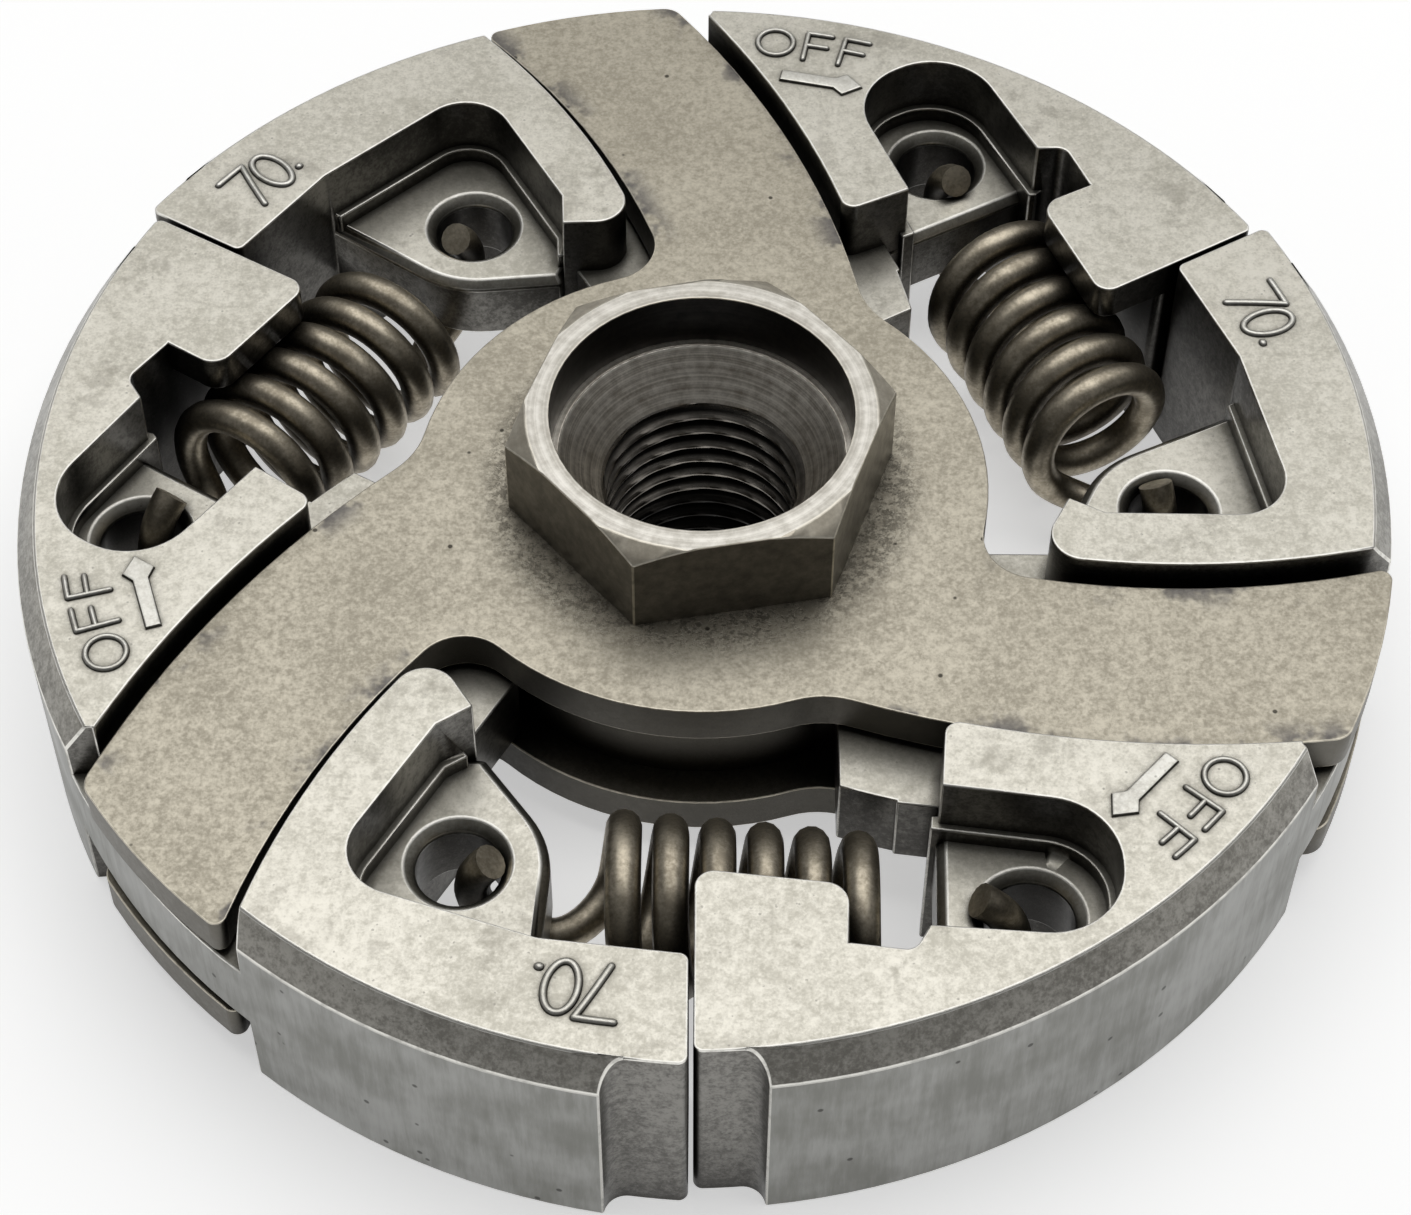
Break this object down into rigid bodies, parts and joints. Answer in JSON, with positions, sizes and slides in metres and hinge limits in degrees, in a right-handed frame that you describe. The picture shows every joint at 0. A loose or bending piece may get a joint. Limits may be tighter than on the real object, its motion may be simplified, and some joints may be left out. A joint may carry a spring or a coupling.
{
  "type": "chainsaw clutch",
  "caption": "Centrifugal chainsaw clutch: curved H-section arms on a hexagon hub, with sliding sintered friction shoes held in by hooked extension springs.",
  "frame": {"origin": "on the clutch's axis, in the plane that the shoes' undersides lie in", "axes": "+Z along the axis towards the hexagon; -Y towards the seam between shoes that faces the viewer in the picture; the other seams are at 30 and 150 degrees from +X"},
  "size_m": [0.077, 0.0774, 0.0191],
  "materials": {
    "hub_steel": "matt tan-grey steel with dark heat stains near the shoes",
    "shoe_sintered_steel": "light grey sintered steel, finely mottled, ground on the friction face",
    "spring_steel": "dark brown oil-tempered wire"
  },
  "bodies": {
    "hub": {"spider_hub": "hub_steel", "spring_1": "spring_steel", "spring_2": "spring_steel", "spring_3": "spring_steel"},
    "shoe_1": {"shoe_1": "shoe_sintered_steel"},
    "shoe_2": {"shoe_2": "shoe_sintered_steel"},
    "shoe_3": {"shoe_3": "shoe_sintered_steel"}
  },
  "joints": [
    {"name": "shoe_1_swing", "type": "hinge", "parent": "hub", "child": "shoe_1", "pos_m": [0.0262, 0.03974, 0.0072], "axis": [0, 0, 1], "range_deg": [0, 1.9], "stiffness_Nm_per_rad": 265, "springref_deg": -0.11, "deforming": ["spring_1", "spring_2"]},
    {"name": "shoe_2_swing", "type": "hinge", "parent": "hub", "child": "shoe_2", "pos_m": [-0.04752, 0.00282, 0.0072], "axis": [0, 0, 1], "range_deg": [0, 1.9], "stiffness_Nm_per_rad": 265, "springref_deg": -0.11, "deforming": ["spring_2", "spring_3"]},
    {"name": "shoe_3_swing", "type": "hinge", "parent": "hub", "child": "shoe_3", "pos_m": [0.02131, -0.04256, 0.0072], "axis": [0, 0, 1], "range_deg": [0, 1.9], "stiffness_Nm_per_rad": 265, "springref_deg": -0.11, "deforming": ["spring_3", "spring_1"]}
  ]
}
